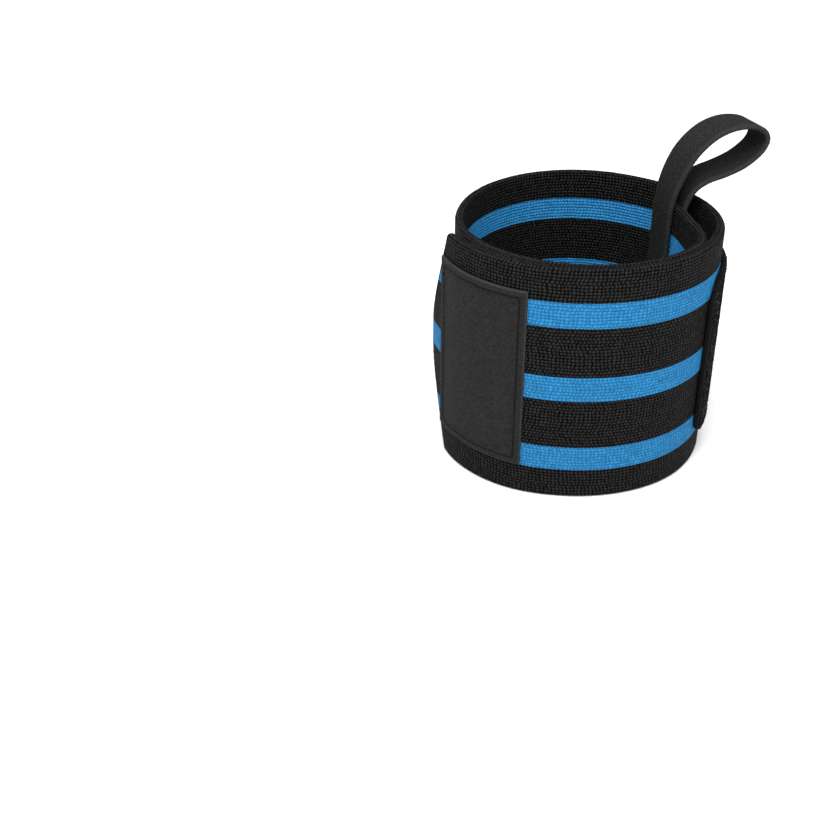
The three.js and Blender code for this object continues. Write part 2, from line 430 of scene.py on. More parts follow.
deselect()
bpy.ops.mesh.primitive_plane_add(size=6)
floor = bpy.context.active_object
floor.name = "floor"
paper = bpy.data.materials.new("white paper")
paper.use_nodes = True
paper_shader = paper.node_tree.nodes["Principled BSDF"]
paper_shader.inputs["Base Color"].default_value = (0.92, 0.92, 0.92, 1)
paper_shader.inputs["Roughness"].default_value = 0.9
paper_shader.inputs["Specular IOR Level"].default_value = 0.1
floor.data.materials.append(paper)


def soft_light(name, place, size, power):
    bpy.ops.object.light_add(type="AREA", location=place)
    light = bpy.context.active_object
    light.name = name
    light.data.size = size
    light.data.energy = power
    direction = Vector(LIGHT_AIM) - Vector(place)
    light.rotation_euler = direction.to_track_quat("-Z", "Y").to_euler()


soft_light("overhead", (-0.1, -0.25, 0.85), 0.7, 10)
soft_light("key", (-0.35, -0.75, 0.85), 0.6, 3.2)
soft_light("front_right", (0.8, -0.7, 0.5), 0.6, 2)

world = bpy.data.worlds.new("white room")
world.use_nodes = True
world.node_tree.nodes["Background"].inputs["Color"].default_value = (1, 1, 1, 1)
world.node_tree.nodes["Background"].inputs["Strength"].default_value = 0.7
bpy.context.scene.world = world
bpy.context.scene.view_settings.view_transform = "Standard"


# %% [markdown]
# Node helpers
#
# Shader networks are written as short lines: each helper adds one node, fills its
# inputs with numbers or links, and hands back its output.


# %% Node helpers
def wire(tree, socket, value):
    if isinstance(value, bpy.types.NodeSocket):
        tree.links.new(value, socket)
    else:
        socket.default_value = value


def math_node(tree, operation, *values):
    node = tree.nodes.new("ShaderNodeMath")
    node.operation = operation
    for socket, value in zip(node.inputs, values):
        wire(tree, socket, value)
    return node.outputs[0]


def times(tree, first, second):
    return math_node(tree, "MULTIPLY", first, second)


def plus(tree, first, second):
    return math_node(tree, "ADD", first, second)


def minus(tree, first, second):
    return math_node(tree, "SUBTRACT", first, second)


def times_plus(tree, first, second, third):
    return math_node(tree, "MULTIPLY_ADD", first, second, third)


def absolute(tree, value):
    return math_node(tree, "ABSOLUTE", value)


def choose(tree, factor, first, second):
    """The first value where the factor is zero, the second where it is one."""
    node = tree.nodes.new("ShaderNodeMix")
    wire(tree, node.inputs["Factor"], factor)
    wire(tree, node.inputs[2], first)
    wire(tree, node.inputs[3], second)
    return node.outputs[0]


def mix_colour(tree, factor, first, second, blend="MIX"):
    node = tree.nodes.new("ShaderNodeMix")
    node.data_type = "RGBA"
    node.blend_type = blend
    wire(tree, node.inputs["Factor"], factor)
    wire(tree, node.inputs[6], first)
    wire(tree, node.inputs[7], second)
    return node.outputs[2]


def noise(tree, vector, scale, detail=2.0, roughness=0.5):
    node = tree.nodes.new("ShaderNodeTexNoise")
    wire(tree, node.inputs["Vector"], vector)
    node.inputs["Scale"].default_value = scale
    node.inputs["Detail"].default_value = detail
    node.inputs["Roughness"].default_value = roughness
    return node.outputs["Fac"]


def centred_noise(tree, vector, **settings):
    """Noise that swings about zero."""
    return minus(tree, noise(tree, vector, **settings), 0.5)


def ramp(tree, value, start, end, top=1.0):
    """Zero at the start and the top at the end, on a smooth curve between them."""
    node = tree.nodes.new("ShaderNodeMapRange")
    node.interpolation_type = "SMOOTHSTEP"
    tree.links.new(value, node.inputs["Value"])
    node.inputs["From Min"].default_value = start
    node.inputs["From Max"].default_value = end
    node.inputs["To Max"].default_value = top
    return node.outputs["Result"]


def new_group(name, inputs, outputs):
    """A node group with named inputs and outputs."""
    tree = bpy.data.node_groups.new(name, "ShaderNodeTree")
    for label, kind, default in inputs:
        socket = tree.interface.new_socket(label, in_out="INPUT", socket_type=kind)
        if default is not None:
            socket.default_value = default
    for label, kind in outputs:
        tree.interface.new_socket(label, in_out="OUTPUT", socket_type=kind)
    return tree, tree.nodes.new("NodeGroupInput"), tree.nodes.new("NodeGroupOutput")


def place_group(tree, group, **values):
    node = tree.nodes.new("ShaderNodeGroup")
    node.node_tree = group
    for label, value in values.items():
        wire(tree, node.inputs[label.replace("_", " ")], value)
    return node


def new_material(name):
    material = bpy.data.materials.new(name)
    material.use_nodes = True
    tree = material.node_tree
    return material, tree, tree.nodes["Principled BSDF"]


def set_gloss(shader, roughness, specular):
    shader.inputs["Roughness"].default_value = roughness
    shader.inputs["Specular IOR Level"].default_value = specular


def flat_place(tree):
    """The flat place, split into along, out and across."""
    read = tree.nodes.new("ShaderNodeAttribute")
    read.attribute_name = "flat"
    split = tree.nodes.new("ShaderNodeSeparateXYZ")
    tree.links.new(read.outputs["Vector"], split.inputs[0])
    return read.outputs["Vector"], split.outputs[0], split.outputs[1], split.outputs[2]


def bump(tree, height, distance, strength):
    node = tree.nodes.new("ShaderNodeBump")
    node.inputs["Strength"].default_value = strength
    node.inputs["Distance"].default_value = distance
    wire(tree, node.inputs["Height"], height)
    return node.outputs["Normal"]


# %% [markdown]
# The coarse weave
#
# The webbing is a plain weave of thick yarn: rows of short yarn floats, each row
# shifted by an uneven part of a float against the next. Dark lines of painted shade run
# between the floats, deepest where they cross. The group turns a place on the cloth into
# a height, a mask of the painted shade in the low places, and a tone that differs a
# little from float to float, because no two yarns take the dye alike. Its Edge input
# fills the lines between the rows, because at the rim the yarn turns round the edge.

# %% Coarse weave group
ROW_SHIFT = 0.75
WANDER_ALONG = 1.5
WANDER_ACROSS = 0.6
FUZZ_HEIGHT = 0.8
PIT_SHADE_STARTS = 0.9
PIT_SHADE_DARKEST = 0.5


def crown(tree, cells):
    """One along the middle of each float or row, and zero between two of them."""
    return absolute(tree, math_node(tree, "COSINE", times(tree, cells, math.pi)))


def uneven_cells(tree, distance, size, wander, share):
    """Counts floats or rows along a distance, with a little wandering."""
    cells = math_node(tree, "DIVIDE", distance, size)
    return plus(tree, cells, times(tree, wander, share))


def make_coarse_weave():
    tree, group_in, group_out = new_group(
        "coarse weave",
        [
            ("Place", "NodeSocketVector", None), ("Along", "NodeSocketFloat", 0.0),
            ("Across", "NodeSocketFloat", 0.0), ("Float Length", "NodeSocketFloat", 0.00115),
            ("Row Height", "NodeSocketFloat", 0.00102), ("Edge", "NodeSocketFloat", 0.0),
        ],
        [("Height", "NodeSocketFloat"), ("Pit Shade", "NodeSocketFloat"), ("Tone", "NodeSocketFloat")],
    )
    given, result = group_in.outputs, group_out.inputs
    wander = centred_noise(tree, given["Place"], scale=180)
    along = uneven_cells(tree, given["Along"], given["Float Length"], wander, WANDER_ALONG)
    wander = centred_noise(tree, given["Place"], scale=230)
    across = uneven_cells(tree, given["Across"], given["Row Height"], wander, WANDER_ACROSS)
    row = math_node(tree, "ROUND", across)
    row_shift = tree.nodes.new("ShaderNodeTexWhiteNoise")
    row_shift.noise_dimensions = "1D"
    tree.links.new(row, row_shift.inputs["W"])
    shifted = times_plus(tree, row_shift.outputs["Value"], ROW_SHIFT, along)
    row_crown = math_node(tree, "MAXIMUM", crown(tree, across), given["Edge"])
    height = plus(tree, crown(tree, shifted), row_crown)
    fuzz = centred_noise(tree, given["Place"], scale=1000, roughness=0.6)
    height = plus(tree, times(tree, height, 0.5), times(tree, fuzz, FUZZ_HEIGHT))
    cell = tree.nodes.new("ShaderNodeCombineXYZ")
    wire(tree, cell.inputs[0], math_node(tree, "ROUND", shifted))
    wire(tree, cell.inputs[1], row)
    dye = tree.nodes.new("ShaderNodeTexWhiteNoise")
    tree.links.new(cell.outputs[0], dye.inputs["Vector"])
    wire(tree, result["Height"], height)
    # Painted shade: the low places between the floats get a mask for a darker colour.
    wire(tree, result["Pit Shade"], ramp(tree, height, PIT_SHADE_STARTS, PIT_SHADE_DARKEST))
    wire(tree, result["Tone"], dye.outputs["Value"])
    return tree


coarse_weave = make_coarse_weave()

# %% [markdown]
# Webbing with three stripes
#
# The stripes are woven in, so they are a change of yarn colour and not a layer: the
# same floats and holes run through black and blue, and the edge of a stripe shifts a
# little from float to float. Between the floats painted shade makes the blue cloth
# darker blue and the black one nearly nothing. Inside the roll's hollow the stripes are
# narrower and stand a little higher, so that face has a mask of its own, and there the
# blue stripes are lightened with painted light.

# %% Striped webbing
# The hole colours are painted shade in the pits between the yarn floats.
BLACK_YARN = (0.02, 0.02, 0.0203, 1)
BLACK_PIT_SHADE = (0.0003, 0.0003, 0.0003, 1)
BLUE_YARN = (0.0258, 0.197, 0.422, 1)
BLUE_PIT_SHADE = (0.0142, 0.127, 0.288, 1)
INNER_LOWEST = 18.5
INNER_PITCH = 22.2
INNER_WIDTH = 7.3
RAGGED = 0.12
OVER_RIM = 0.38
RIM_SHADE_FROM = 1.3
RIM_SHADE_TO = 0.3
RIM_SHADE = 0.5
DARKEST_YARN = 0.73
YARN_TO_YARN = 0.24
LINT_LIGHTER = 0.35
RIM_DARKER = 0.3
HOLLOW_PAINTED_LIGHT = 0.24
LINT_RELIEF = 0.25
STRIPES_FLATTER = 0.45
YARN_RELIEF = 0.9


def stripe_mask(tree, across, ragged, lowest, pitch, width):
    """One inside the three stripes, with edges that wander by part of a float."""
    from_first = minus(tree, across, lowest * MM)
    step = pitch * MM
    nearest = math_node(tree, "ROUND", math_node(tree, "DIVIDE", from_first, step))
    distance = minus(tree, from_first, times(tree, nearest, step))
    distance = plus(tree, absolute(tree, distance), ragged)
    inside = math_node(tree, "LESS_THAN", distance, width / 2 * MM)
    below = math_node(tree, "GREATER_THAN", nearest, -0.5)
    above = math_node(tree, "LESS_THAN", nearest, STRIPE_COUNT - 0.5)
    return times(tree, inside, times(tree, below, above))


def across_rims(tree, out, from_middle):
    """The place across the rows, measured on over each rim to the other face."""
    over_rim = times(tree, out, OVER_RIM)
    outside = minus(tree, from_middle, over_rim)
    inside = minus(tree, BAND_WIDTH * MM, plus(tree, from_middle, over_rim))
    return choose(tree, math_node(tree, "LESS_THAN", out, 0.0), outside, inside)


def webbing_material(name):
    material, tree, shader = new_material(name)
    place, along, out, across = flat_place(tree)
    half = BAND_WIDTH / 2
    from_middle = absolute(tree, minus(tree, across, half * MM))
    rim_from, rim_to = (half - RIM_SHADE_FROM) * MM, (half - RIM_SHADE_TO) * MM
    edge = ramp(tree, from_middle, rim_from, rim_to, RIM_SHADE)
    weave = place_group(
        tree, coarse_weave, Place=place, Along=along,
        Across=across_rims(tree, out, from_middle), Edge=edge,
    )
    lint = noise(tree, place, scale=2600, detail=3, roughness=0.65)

    ragged = times(tree, minus(tree, weave.outputs["Tone"], 0.5), RAGGED * MM)
    lowest = STRIPE_MARGIN + STRIPE_WIDTH / 2
    pitch = (BAND_WIDTH - 2 * lowest) / (STRIPE_COUNT - 1)
    outer = stripe_mask(tree, across, ragged, lowest, pitch, STRIPE_WIDTH)
    inner = stripe_mask(tree, across, ragged, INNER_LOWEST, INNER_PITCH, INNER_WIDTH)
    on_inner_face = math_node(tree, "LESS_THAN", out, 0.0)
    first_lap = math_node(tree, "LESS_THAN", along, way_at(INNER_END_TURN + ONE_TURN) * MM)
    in_hollow = times(tree, on_inner_face, first_lap)
    stripes = choose(tree, in_hollow, outer, inner)

    yarn = mix_colour(tree, stripes, BLACK_YARN, BLUE_YARN)
    gap = mix_colour(tree, stripes, BLACK_PIT_SHADE, BLUE_PIT_SHADE)
    # Painted shade: the pits between the floats take the darker hole colour.
    colour = mix_colour(tree, weave.outputs["Pit Shade"], yarn, gap)
    tone = times_plus(tree, weave.outputs["Tone"], YARN_TO_YARN, DARKEST_YARN)
    tone = plus(tree, tone, times(tree, lint, LINT_LIGHTER))
    tone = times_plus(tree, edge, -RIM_DARKER, tone)
    # Painted light: the blue stripes inside the roll's hollow are lightened.
    tone = times_plus(tree, times(tree, in_hollow, stripes), HOLLOW_PAINTED_LIGHT, tone)
    tone_colour = tree.nodes.new("ShaderNodeCombineColor")
    for channel in range(3):
        wire(tree, tone_colour.inputs[channel], tone)
    shaded = mix_colour(tree, 1, colour, tone_colour.outputs[0], "MULTIPLY")
    wire(tree, shader.inputs["Base Color"], shaded)

    relief = plus(tree, weave.outputs["Height"], times(tree, lint, LINT_RELIEF))
    relief = times(tree, relief, times_plus(tree, stripes, -STRIPES_FLATTER, 1.0))
    wire(tree, shader.inputs["Normal"], bump(tree, relief, YARN_RELIEF * MM, 0.9))
    set_gloss(shader, 0.8, 0.05)
    return material


striped_webbing = webbing_material("striped webbing")

# %% [markdown]
# Fine cloth
#
# The strap, the label, the backing of the pile and the sewing thread are finer: the
# threads hardly show, so a small rib and a speckle of lint carry the surface. One
# function makes them all from a colour and the size of the rib. It can paint a highlight
# along the borders of a piece, and a painted shadow along a line of stitches.


# %% Fine cloth materials
SEAM_SHADOW_FROM = 0.45
SEAM_SHADOW_TO = 0.1
SEAM_SHADOW = 0.65
SPECK = 4.5
DARK_SHARE = 0.4
LIGHT_SHARE = 1.6


def near_border(tree, value, low, high, width):
    """One at the two borders of a strip, and nothing further in than a width."""
    from_low = minus(tree, value, low * MM)
    from_high = minus(tree, high * MM, value)
    nearest = math_node(tree, "MINIMUM", from_low, from_high)
    return ramp(tree, nearest, width * MM, 0.4 * width * MM)


def near_seam(tree, places, borders, inset):
    """One along a line of stitches that runs round a piece, inset from its borders."""
    nearest = None
    for axis, low, high in borders:
        for end in (low, high):
            off = absolute(tree, minus(tree, places[axis], end * MM))
            nearest = off if nearest is None else math_node(tree, "MINIMUM", nearest, off)
    off_seam = absolute(tree, minus(tree, nearest, inset * MM))
    return ramp(tree, off_seam, SEAM_SHADOW_FROM * MM, SEAM_SHADOW_TO * MM)


def tinted(colour, share):
    return tuple(channel * share for channel in colour[:3]) + (1,)


def fine_cloth(name, colour, rib, rib_depth, contrast, borders=(), border_width=0.5, highlight_lift=1.6,
               seam=None, mottle=0.9):
    """Cloth with a rib of one size, in millimetres, and specks by its contrast."""
    material, tree, shader = new_material(name)
    place, along, out, across = flat_place(tree)
    places = {"along": along, "across": across}
    per_rib = 2 * math.pi / (rib * MM)
    ribs = math_node(tree, "SINE", times(tree, along, per_rib))
    picks = math_node(tree, "SINE", times(tree, across, per_rib))
    woven = times(tree, ribs, picks)
    lint = noise(tree, place, scale=1300, detail=4, roughness=0.75)
    value = times_plus(tree, woven, 0.5 * contrast, 0.5)
    value = plus(tree, value, times(tree, minus(tree, lint, 0.5), SPECK * contrast))
    blotch = noise(tree, place, scale=90, detail=3)
    value = times(tree, value, times_plus(tree, blotch, mottle, 1 - mottle / 2))
    light = tinted(colour, LIGHT_SHARE)
    cloth_colour = mix_colour(tree, value, tinted(colour, DARK_SHARE), light)
    # Painted highlight: the cloth is lightened along the borders of a piece.
    for axis, low, high in borders:
        edge = near_border(tree, places[axis], low, high, border_width)
        edge = times(tree, edge, times_plus(tree, lint, 0.8, 0.2))
        cloth_colour = mix_colour(tree, edge, cloth_colour, tinted(light, highlight_lift))
    if seam:
        shadow = times(tree, near_seam(tree, places, borders, seam), SEAM_SHADOW)
        cloth_colour = mix_colour(tree, shadow, cloth_colour, (0.002, 0.002, 0.002, 1))
    wire(tree, shader.inputs["Base Color"], cloth_colour)
    relief = plus(tree, woven, times(tree, lint, 1.6))
    wire(tree, shader.inputs["Normal"], bump(tree, relief, rib_depth * MM, 0.8))
    set_gloss(shader, 0.75, 0.06)
    return material


# The strap's two borders get a painted highlight.
strap_cloth = fine_cloth(
    "strap cloth", (0.0165, 0.0165, 0.0168, 1), 0.7, 0.16, 1.0,
    borders=[("across", 0, STRAP_WIDTH)], border_width=1.3, highlight_lift=1.3,
)
thread_black = fine_cloth("black thread", (0.004, 0.004, 0.004, 1), 0.3, 0.05, 0.3)

# %% [markdown]
# The elastic band
#
# The band is cut as one long box with round edges. Past its shoulders both edges run
# in to a blunt nose, little wider than one stripe. It is divided finely along its
# length, so that the rim can carry the bumps of the yarn, which show against the light.

# %% The band, cut flat
COLUMN = 0.29
EDGE_ROUND = 1.1
RIM_BUMP = 0.11
FLOAT_LENGTH = 1.1
MOST_CUTS = 100
NOSE_CORNER = 3.6
shoulder = way_at(SHOULDER_TURN)
nose = way_at(NOSE_TURN)
band_length = nose + NOSE_LENGTH
middle = BAND_WIDTH / 2


def divide_lengthwise(obj, longer_than, piece):
    """Divides the edges that run along the cloth into pieces of about one length."""
    verts = obj.data.vertices
    longest = max(abs(verts[a].co.x - verts[b].co.x) for a, b in obj.data.edge_keys) / MM
    cuts = max(1, min(MOST_CUTS, round(longest / piece) - 1))
    select_edges(obj, lambda a, b: abs(a.x - b.x) > longer_than * MM)
    bpy.ops.mesh.subdivide(number_cuts=cuts)
    bpy.ops.object.mode_set(mode="OBJECT")


band = new_block("elastic_band_cloth", (0, -BAND_OUT, 0), (band_length, BAND_OUT, BAND_WIDTH))
make_active(band)
bpy.ops.object.mode_set(mode="EDIT")
for cut in (shoulder, nose):
    cut_across(cut * MM)
select_edges(band, lambda a, b: min(a.x, b.x) > (nose - 0.01) * MM)
bpy.ops.transform.resize(
    value=(1, 1, NOSE_WIDTH / BAND_WIDTH), center_override=(nose * MM, 0, middle * MM)
)
bpy.ops.object.mode_set(mode="OBJECT")


def nose_corner(a, b):
    same_place = abs(a.x - b.x) < 1e-7 and abs(a.z - b.z) < 1e-7
    return same_place and a.x > (band_length - 0.01) * MM


def rim_edge(a, b):
    cuts = [max(abs(a.x / MM - cut), abs(b.x / MM - cut)) < 0.01 for cut in (shoulder, nose)]
    return abs(a.y - b.y) < 1e-7 and not any(cuts)


select_edges(band, nose_corner)
bevel_selected(NOSE_CORNER, segments=3)
select_edges(band, rim_edge)
bevel_selected(EDGE_ROUND, segments=4)
divide_lengthwise(band, longer_than=100, piece=19.6)
divide_lengthwise(band, longer_than=5, piece=COLUMN)
divide_lengthwise(band, longer_than=2, piece=0.5)
print("band", round(band_length, 1), "mm long, divided into", len(band.data.polygons), "faces")

# %% [markdown]
# The rim of the band
#
# Seen from above, the rim shows the yarn turning round the edge: small bumps, one for
# each float. They are too small for modelling by hand, so each point of the rim moves
# in or out by a wave along the cloth, with an uneven height from bump to bump.
#
# Where two laps lie on each other, the sides that face each other are swollen until
# they nearly touch, because soft cloth that is rolled tight leaves no gap there.

# %% Rim bumps, then the winding
INNER_FACE_MEETS = (0, 40)
OUTER_FACE_MEETS = (24, 38)
FACES_PART = (146, 160)
MOST_SWELL = 1.2
LAP_GAP = 0.03
RIM_PINCH = 0.7


def uneven(number):
    """A repeatable number from 0 to 1 for a count."""
    return math.sin(number * 12.9898 + 4.1) * 43758.5453 % 1


def rim_bumps(obj, low, high):
    for vertex in obj.data.vertices:
        along = vertex.co.x / MM
        across = vertex.co.z / MM
        near = max(low + EDGE_ROUND - across, across - high + EDGE_ROUND, 0) / EDGE_ROUND
        if near <= 0 or along > shoulder:
            continue
        side = 1 if across > (low + high) / 2 else -1
        phase = along / FLOAT_LENGTH + (0.5 if vertex.co.y > 0 else 0)
        size = 0.4 + 0.6 * uneven(math.floor(phase) + 7 * side)
        wave = 0.5 - 0.5 * math.cos(2 * math.pi * phase)
        vertex.co.z -= side * RIM_BUMP * MM * near * (1 - size * wave)


def close_laps(obj):
    """Swells the sides of two laps that face each other until they nearly touch."""
    turn_of = {}
    for vertex in obj.data.vertices:
        place = vertex.co
        key = round(place.x, 6)
        if key not in turn_of:
            turn_of[key] = turn_at(place.x / MM)
        turn = turn_of[key] - (ONE_TURN if place.y < 0 else 0)
        share = 1 - smooth_step(turn, *FACES_PART)
        share *= smooth_step(turn, *(INNER_FACE_MEETS if place.y < 0 else OUTER_FACE_MEETS))
        if share <= 0:
            continue
        gap = CLEARANCE + ROLL_RADIUS * read_table(SLACK, turn)
        swell = share * min(gap / 2 - LAP_GAP, MOST_SWELL)
        place.y += place.y / BAND_OUT * swell
        to_middle = place.z - middle * MM
        to_rim = middle * MM - abs(to_middle)
        if to_rim < EDGE_ROUND * MM:
            place.z += math.copysign(RIM_PINCH * share * to_rim, to_middle)


rim_bumps(band, 0, BAND_WIDTH)
keep_flat_place(band)
close_laps(band)
wind(band, band_guide)
finish_piece(band, striped_webbing, "elastic_band", angle=60)

# %% [markdown]
# The thumb loop
#
# A narrow strap is folded over the band's inner end and sewn on both faces of it. Its
# free part stands up as a leaning drop. The path is drawn in the upright plane across
# the band's end, so the strap is wound flat on the ground first and then stood up.

# %% The strap's path
LOOP_OUTLINE = [
    (-0.04, 0.22), (0.05, 0.5), (0.165, 0.71), (0.34, 0.89), (0.51, 0.975), (0.68, 1),
    (0.85, 0.97), (0.96, 0.89), (1, 0.79), (0.97, 0.68), (0.89, 0.58), (0.75, 0.47),
    (0.55, 0.38), (0.34, 0.31), (0.21, 0.22), (0.14, 0.11),
]
LEG_TOP = 2
leg_out = BAND_OUT + CLEARANCE + STRAP_THICKNESS / 2


def smooth_path(points, per_span):
    """A curve through all the points, evenly tight however far apart they lie."""
    full = [points[0] * 2 - points[1]] + points + [points[-1] * 2 - points[-2]]
    result = []
    for i in range(1, len(full) - 2):
        a, b, c, d = full[i - 1:i + 3]
        first, second, third = ((q - p).length ** 0.5 for p, q in ((a, b), (b, c), (c, d)))
        leave = (b - a) / first - (c - a) / (first + second) + (c - b) / second
        arrive = (c - b) / second - (d - b) / (second + third) + (d - c) / third
        for k in range(per_span):
            s = k / per_span
            place = b * (2 * s ** 3 - 3 * s ** 2 + 1) + c * (3 * s ** 2 - 2 * s ** 3)
            place += leave * second * (s ** 3 - 2 * s ** 2 + s)
            result.append(place + arrive * second * (s ** 3 - s ** 2))
    return result + [points[-1]]


rising = [Vector((-leg_out, BAND_WIDTH - LEG_TOP * i, 0)) for i in (2, 1)]
drop = [Vector((out * LOOP_REACH, BAND_WIDTH + up * LOOP_RISE, 0)) for out, up in LOOP_OUTLINE]
falling = [Vector((leg_out, BAND_WIDTH - LEG_TOP * i, 0)) for i in (1, 2)]
strap_path = smooth_path(rising + drop + falling, per_span=8)
strap_path.insert(0, Vector((-leg_out, LEG_HEM, 0)))
strap_path.append(Vector((leg_out, LEG_HEM, 0)))
strap_length = distances(strap_path)[-1]
strap_guide = make_guide("strap_guide", strap_path)
print("strap", round(strap_length, 1), "mm long")

# %% [markdown]
# The strap itself is a thin block with round edges, divided finely so that it bends
# smoothly. It is turned by a few degrees about its own length, one way where it rises
# and the other way where it comes down, because a sewn loop never stands quite square.

# %% The strap
TWIST_RISING = 9
TWIST_FALLING = -6
strap_half = STRAP_THICKNESS / 2
strap = new_block("thumb_strap", (0, -strap_half, 0), (strap_length, strap_half, STRAP_WIDTH))
soften_edges(strap, 0.6, segments=4)
divide_lengthwise(strap, longer_than=50, piece=10)
divide_lengthwise(strap, longer_than=5, piece=0.35)


def stand_up(obj):
    """Puts a piece wound on the strap's guide in its upright place on the roll."""
    corner = inner_point - start_along * STRAP_WIDTH + AXIS
    upright = Matrix.Identity(4)
    for axis, direction in enumerate((start_out, Vector((0, 0, 1)), start_along)):
        for i in range(3):
            upright[i][axis] = direction[i]
    for i in range(3):
        upright[i][3] = corner[i] * MM
    obj.matrix_world = upright
    apply_place(obj)


def twist_strap(obj):
    """Turns the strap a little about its own length, one way rising, one way falling."""
    leg = BAND_WIDTH - LEG_HEM
    for vertex in obj.data.vertices:
        share = (vertex.co.x / MM - leg) / (strap_length - 2 * leg)
        share = min(max(share, 0), 1)
        peak = TWIST_RISING if share < 0.5 else TWIST_FALLING
        angle = math.radians(peak) * math.sin(math.pi * (share * 2 % 1))
        y = vertex.co.y
        z = vertex.co.z - STRAP_WIDTH / 2 * MM
        vertex.co.y = y * math.cos(angle) - z * math.sin(angle)
        vertex.co.z = y * math.sin(angle) + z * math.cos(angle) + STRAP_WIDTH / 2 * MM


keep_flat_place(strap)
twist_strap(strap)
wind(strap, strap_guide)
stand_up(strap)
finish_piece(strap, strap_cloth, "thumb_loop", angle=60)

# %% [markdown]
# The label
#
# A smooth woven patch with its edges turned under and sewn down. The hem is the double
# layer, so it is modelled as an inset of the outer face with the middle set back. A
# line of stitches runs along the hem's inner edge. The patch is left bare.

# %% The label, with its hem
HEM_WIDTH = 2.5
HEM_STEP = 0.3
HEM_SLOPE = 0.25
HEM_SEAM = HEM_WIDTH - 0.35
LABEL_RISE = 0.3
LABEL_GAP = 0.12
patch_middle = BAND_WIDTH / 2 + PATCH_RISE
label_end_turn = OUTER_END_TURN - math.degrees(LABEL_TO_POINT / band_radius(OUTER_END_TURN))
label_turns = math.degrees(LABEL_LENGTH / (band_radius(label_end_turn) + BAND_OUT + CLEARANCE))
label_from = way_at(label_end_turn - label_turns)
label_to = way_at(label_end_turn)
label_low = patch_middle - LABEL_HEIGHT / 2 + LABEL_RISE
label_high = patch_middle + LABEL_HEIGHT / 2 + LABEL_RISE
label_out = BAND_OUT + LABEL_GAP
# The label's borders get a painted highlight, and its line of stitches a painted shadow.
label_cloth = fine_cloth(
    "label cloth", (0.0155, 0.0155, 0.0157, 1), 0.7, 0.08, 0.55,
    borders=[("along", label_from, label_to), ("across", label_low, label_high)],
    seam=HEM_SEAM, mottle=0.25,
)
label = new_block(
    "label_cloth",
    (label_from, label_out, label_low),
    (label_to, label_out + LABEL_THICKNESS, label_high),
)


def select_faces(obj, wanted):
    make_active(obj)
    bpy.ops.object.mode_set(mode="EDIT")
    bpy.ops.mesh.select_mode(type="FACE")
    bpy.ops.mesh.select_all(action="DESELECT")
    mesh = bmesh.from_edit_mesh(obj.data)
    for face in mesh.faces:
        face.select = bool(wanted(face))
    bmesh.update_edit_mesh(obj.data)


select_faces(label, lambda face: face.normal.y > 0.9)
bpy.ops.mesh.inset(thickness=HEM_WIDTH * MM)
bpy.ops.mesh.inset(thickness=HEM_SLOPE * MM, depth=-HEM_STEP * MM)
bpy.ops.object.mode_set(mode="OBJECT")


def outer_border(a, b):
    lows = (label_from, label_low)
    highs = (label_to, label_high)
    for p in (a, b):
        ends = min(abs(p.x / MM - lows[0]), abs(p.x / MM - highs[0]))
        sides = min(abs(p.z / MM - lows[1]), abs(p.z / MM - highs[1]))
        if min(ends, sides) > 0.01:
            return False
    return abs(a.y - b.y) < 1e-7 and a.y > (label_out + 0.5) * MM


select_edges(label, outer_border)
bevel_selected(0.35, segments=3)
divide_lengthwise(label, longer_than=20, piece=1)
keep_flat_place(label)
wind(label, band_guide)
finish_piece(label, label_cloth, "label_patch", angle=40)

# %% [markdown]
# Stitches
#
# One stitch is a short thick thread whose ends dive into the cloth. It is modelled
# once, from a small sphere drawn out along its length, and copied along each seam.


# %% Seams of single stitches
STITCH_LENGTH = 1.5
STITCH_PITCH = 2.1
STITCH_THICKNESS = 0.34
STITCH_TILT = 0.06


def box_lines(x0, z0, x1, z1):
    return [((x0, z0), (x1, z0)), ((x1, z0), (x1, z1)), ((x1, z1), (x0, z1)), ((x0, z1), (x0, z0))]


def sew(name, lines, out, guide):
    """Copies of one stitch along lines on the flat cloth, joined as one piece."""
    deselect()
    bpy.ops.mesh.primitive_uv_sphere_add(segments=8, ring_count=6, radius=0.5)
    stitch = bpy.context.active_object
    stitch.rotation_euler = (0, math.pi / 2, 0)
    apply_place(stitch)
    stitch.scale = (STITCH_LENGTH * MM, STITCH_THICKNESS * MM, STITCH_THICKNESS * MM)
    apply_place(stitch)
    copies = []
    for (x0, z0), (x1, z1) in lines:
        run = math.hypot(x1 - x0, z1 - z0)
        count = max(1, round(run / STITCH_PITCH))
        for i in range(count):
            share = (i + 0.5) / count
            one = stitch.copy()
            one.data = stitch.data.copy()
            bpy.context.scene.collection.objects.link(one)
            tilt = math.atan2(z1 - z0, x1 - x0) + STITCH_TILT * (uneven(i + x0) - 0.5)
            one.rotation_euler = (0, -tilt, 0)
            x = x0 + (x1 - x0) * share
            z = z0 + (z1 - z0) * share
            one.location = (x * MM, out * MM, z * MM)
            copies.append(one)
    bpy.data.objects.remove(stitch)
    deselect()
    for one in copies:
        one.select_set(True)
    bpy.context.view_layer.objects.active = copies[0]
    bpy.ops.object.join()
    joined = bpy.context.active_object
    joined.name = name
    apply_place(joined)
    keep_flat_place(joined)
    wind(joined, guide)
    return joined


label_seam = sew(
    "label_seam",
    box_lines(
        label_from + HEM_SEAM, label_low + HEM_SEAM, label_to - HEM_SEAM, label_high - HEM_SEAM
    ),
    label_out + LABEL_THICKNESS, band_guide,
)
finish_piece(label_seam, thread_black)

# %% [markdown]
# The strap's two legs are each sewn down with a box of stitches near their ends, and
# the pointed end of the band is sewn to the tab along its two slanting edges.

# %% Seams on the strap and on the band's point
LEG_BOX_LOW = (2.5, 2)
LEG_BOX_HIGH = (14, STRAP_WIDTH - 2)
POINT_SEAM_INSET = 2.6
POINT_SEAM_ENDS = (shoulder + 4, nose - 2)

